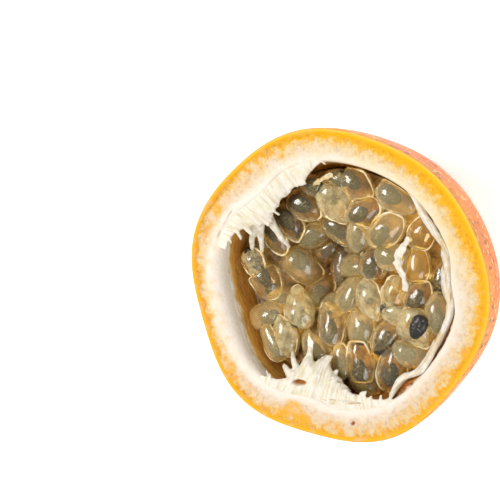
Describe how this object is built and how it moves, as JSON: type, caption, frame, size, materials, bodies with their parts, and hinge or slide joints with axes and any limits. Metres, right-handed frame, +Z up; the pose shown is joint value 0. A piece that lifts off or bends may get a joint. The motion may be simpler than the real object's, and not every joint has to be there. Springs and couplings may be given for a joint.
{
  "type": "passion fruit half",
  "caption": "Half of a ripe passion fruit with orange skin, cut face up: thick white pith, thin lining and a hollowed heap of juicy dark-seeded pulp.",
  "frame": {"origin": "centre of the small flat spot underneath, on the surface the half rests on", "axes": "+Z up through the cut face, which is level; +X towards the right-hand seam with its stalks, +Y towards the back edge of the cut face"},
  "size_m": [0.068, 0.0662, 0.0354],
  "materials": {
    "skin": "waxy orange fruit skin with pale dots and brown scars; its inner side is white spongy pith",
    "pith": "moist white spongy fibres",
    "lining": "smooth moist cream membrane, amber low down",
    "pulp": "wet clear amber-grey jelly",
    "seeds": "dark pitted seed coat under juice"
  },
  "bodies": {
    "root": {"shell": "skin", "lining": "lining", "pulp": "pulp", "placenta_right": "pith", "placenta_upper_left": "pith", "placenta_lower": "pith"}
  },
  "joints": []
}
